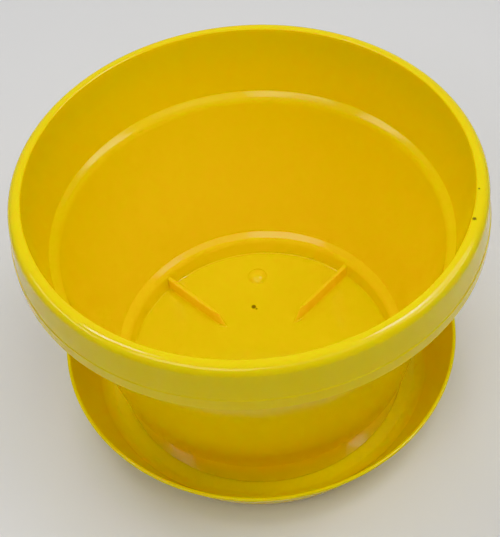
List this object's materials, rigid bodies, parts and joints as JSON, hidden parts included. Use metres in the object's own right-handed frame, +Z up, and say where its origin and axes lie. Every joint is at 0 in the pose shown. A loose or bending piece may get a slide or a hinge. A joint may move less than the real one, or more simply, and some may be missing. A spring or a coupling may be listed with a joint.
{
  "type": "plant pot with saucer",
  "caption": "Round tapered plastic pot with a deep rim band and floor ribs, standing in its own wide saucer; used open as a yellow pan trap for wasps.",
  "frame": {"origin": "centre of the saucer's underside, on the axis that the pot and the saucer share", "axes": "+Z up along the axis; the blister on the pot's floor is towards +Y, and the four floor ribs are at 45 degrees to X and Y"},
  "size_m": [0.2064, 0.2064, 0.1399],
  "materials": {
    "pot_plastic": "satin-gloss injection-moulded polypropylene",
    "saucer_plastic": "satin-gloss injection-moulded polypropylene"
  },
  "bodies": {
    "saucer_body": {"saucer": "saucer_plastic"},
    "pot_body": {"pot": "pot_plastic"}
  },
  "joints": [
    {"name": "pot_lift", "type": "slide", "parent": "saucer_body", "child": "pot_body", "axis": [0, 0, 1], "range_m": [0, 0.045]}
  ]
}
